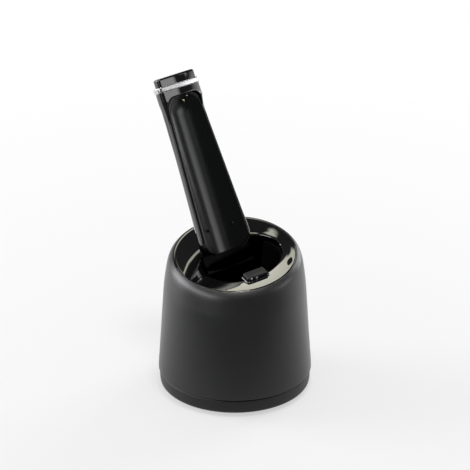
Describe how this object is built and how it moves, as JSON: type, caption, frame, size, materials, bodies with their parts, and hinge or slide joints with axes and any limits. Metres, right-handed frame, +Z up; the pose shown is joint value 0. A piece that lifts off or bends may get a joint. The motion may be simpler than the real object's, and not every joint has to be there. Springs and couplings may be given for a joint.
{
  "type": "shaver cleaning station",
  "caption": "Round cleaning station with a sloping glossy deck, a washing bowl, a leaning cradle tower with charging contacts and a lift-off housing over a fluid cartridge.",
  "frame": {"origin": "on the ground, on the pot's axis, in the plane of the rubber feet's undersides", "axes": "+Z up, -Y the side that the cradle faces, +X to the right as seen from that side"},
  "size_m": [0.118, 0.1439, 0.2357],
  "materials": {
    "pot_matt": "fine matt anthracite",
    "tray_dark": "matt near-black",
    "gloss_black": "polished piano black",
    "bowl_black": "satin black",
    "cradle_matt": "matt black",
    "button_black": "satin black",
    "trim_chrome": "bright satin chrome",
    "foot_rubber": "black rubber",
    "inner_light": "natural moulding",
    "inner_dark": "black moulding",
    "bright_steel": "bright steel",
    "rotor_grey": "grey moulding",
    "cartridge_blue": "translucent blue",
    "lid_grey": "pale grey",
    "fluid_blue": "blue fluid",
    "board_green": "green board",
    "switch_grey": "grey switch",
    "window_black": "smoked window",
    "mark_white": "white marks",
    "contact_gold": "plated contacts"
  },
  "bodies": {
    "base": {"base_tray": "tray_dark", "rubber_feet": "foot_rubber", "guide_columns": "inner_light", "column_buffers": "foot_rubber", "catch_post": "inner_light", "base_screws": "bright_steel", "cartridge_tub": "cartridge_blue", "cartridge_lid": "lid_grey", "port_seals": "foot_rubber", "cleaning_fluid": "fluid_blue"},
    "lift_button": {"lift_button": "gloss_black", "push_rod": "inner_light"},
    "latch": {"latch_lever": "inner_light"},
    "start_button": {"start_button": "button_black", "button_marks": "mark_white"},
    "contact_left": {"contact_pin_left": "contact_gold"},
    "contact_right": {"contact_pin_right": "contact_gold"},
    "pump_rotor": {"pump_rotor": "rotor_grey"},
    "fan_rotor": {"fan_rotor": "inner_dark"},
    "housing": {"outer_shell": "pot_matt", "deck_ring": "gloss_black", "bowl": "bowl_black", "bowl_strainer": "bright_steel", "chassis": "inner_light", "guide_pins": "bright_steel", "tower_foot": "bowl_black", "tower_front": "gloss_black", "tower_back": "gloss_black", "cradle_panel": "cradle_matt", "trim_band": "trim_chrome", "contact_board": "board_green", "main_board": "board_green", "button_board": "board_green", "start_switch": "switch_grey", "indicator_window": "window_black", "pump_motor": "bright_steel", "pump_chamber": "inner_light", "suction_pipe": "inner_light", "delivery_nozzle": "inner_light", "fan_housing": "inner_dark", "power_socket": "inner_dark", "socket_pins": "bright_steel", "latch_pin": "bright_steel", "housing_screws": "bright_steel"}
  },
  "joints": [
    {"name": "housing_lift", "type": "slide", "parent": "base", "child": "housing", "axis": [0, 0, 1], "range_m": [0, 0.036]},
    {"name": "lift_button_press", "type": "slide", "parent": "housing", "child": "lift_button", "axis": [0, -0.4909, -0.8712], "range_m": [0, 0.0025], "stiffness_N_per_m": 900, "springref_m": -0.0012},
    {"name": "latch_swing", "type": "hinge", "parent": "housing", "child": "latch", "pos_m": [0, 0.046, 0.076], "axis": [1, 0, 0], "range_deg": [0, 4]},
    {"name": "start_button_press", "type": "slide", "parent": "housing", "child": "start_button", "axis": [0.1313, 0.1313, -0.9826], "range_m": [0, 0.0008], "stiffness_N_per_m": 700, "springref_m": -0.0005},
    {"name": "contact_left_press", "type": "slide", "parent": "housing", "child": "contact_left", "axis": [0, 0.8712, -0.4909], "range_m": [0, 0.0009], "stiffness_N_per_m": 300, "springref_m": -0.0003},
    {"name": "contact_right_press", "type": "slide", "parent": "housing", "child": "contact_right", "axis": [0, 0.8712, -0.4909], "range_m": [0, 0.0009], "stiffness_N_per_m": 300, "springref_m": -0.0003},
    {"name": "pump_spin", "type": "hinge", "parent": "housing", "child": "pump_rotor", "pos_m": [0.035, 0.02, 0.07], "axis": [0, 0, 1], "continuous": true},
    {"name": "fan_spin", "type": "hinge", "parent": "housing", "child": "fan_rotor", "pos_m": [-0.033, 0.021, 0.064], "axis": [0, 0, 1], "continuous": true}
  ],
  "couplings": [
    {"joint": "latch_swing", "follows": "lift_button_press", "rad_per_m": 23.402}
  ]
}
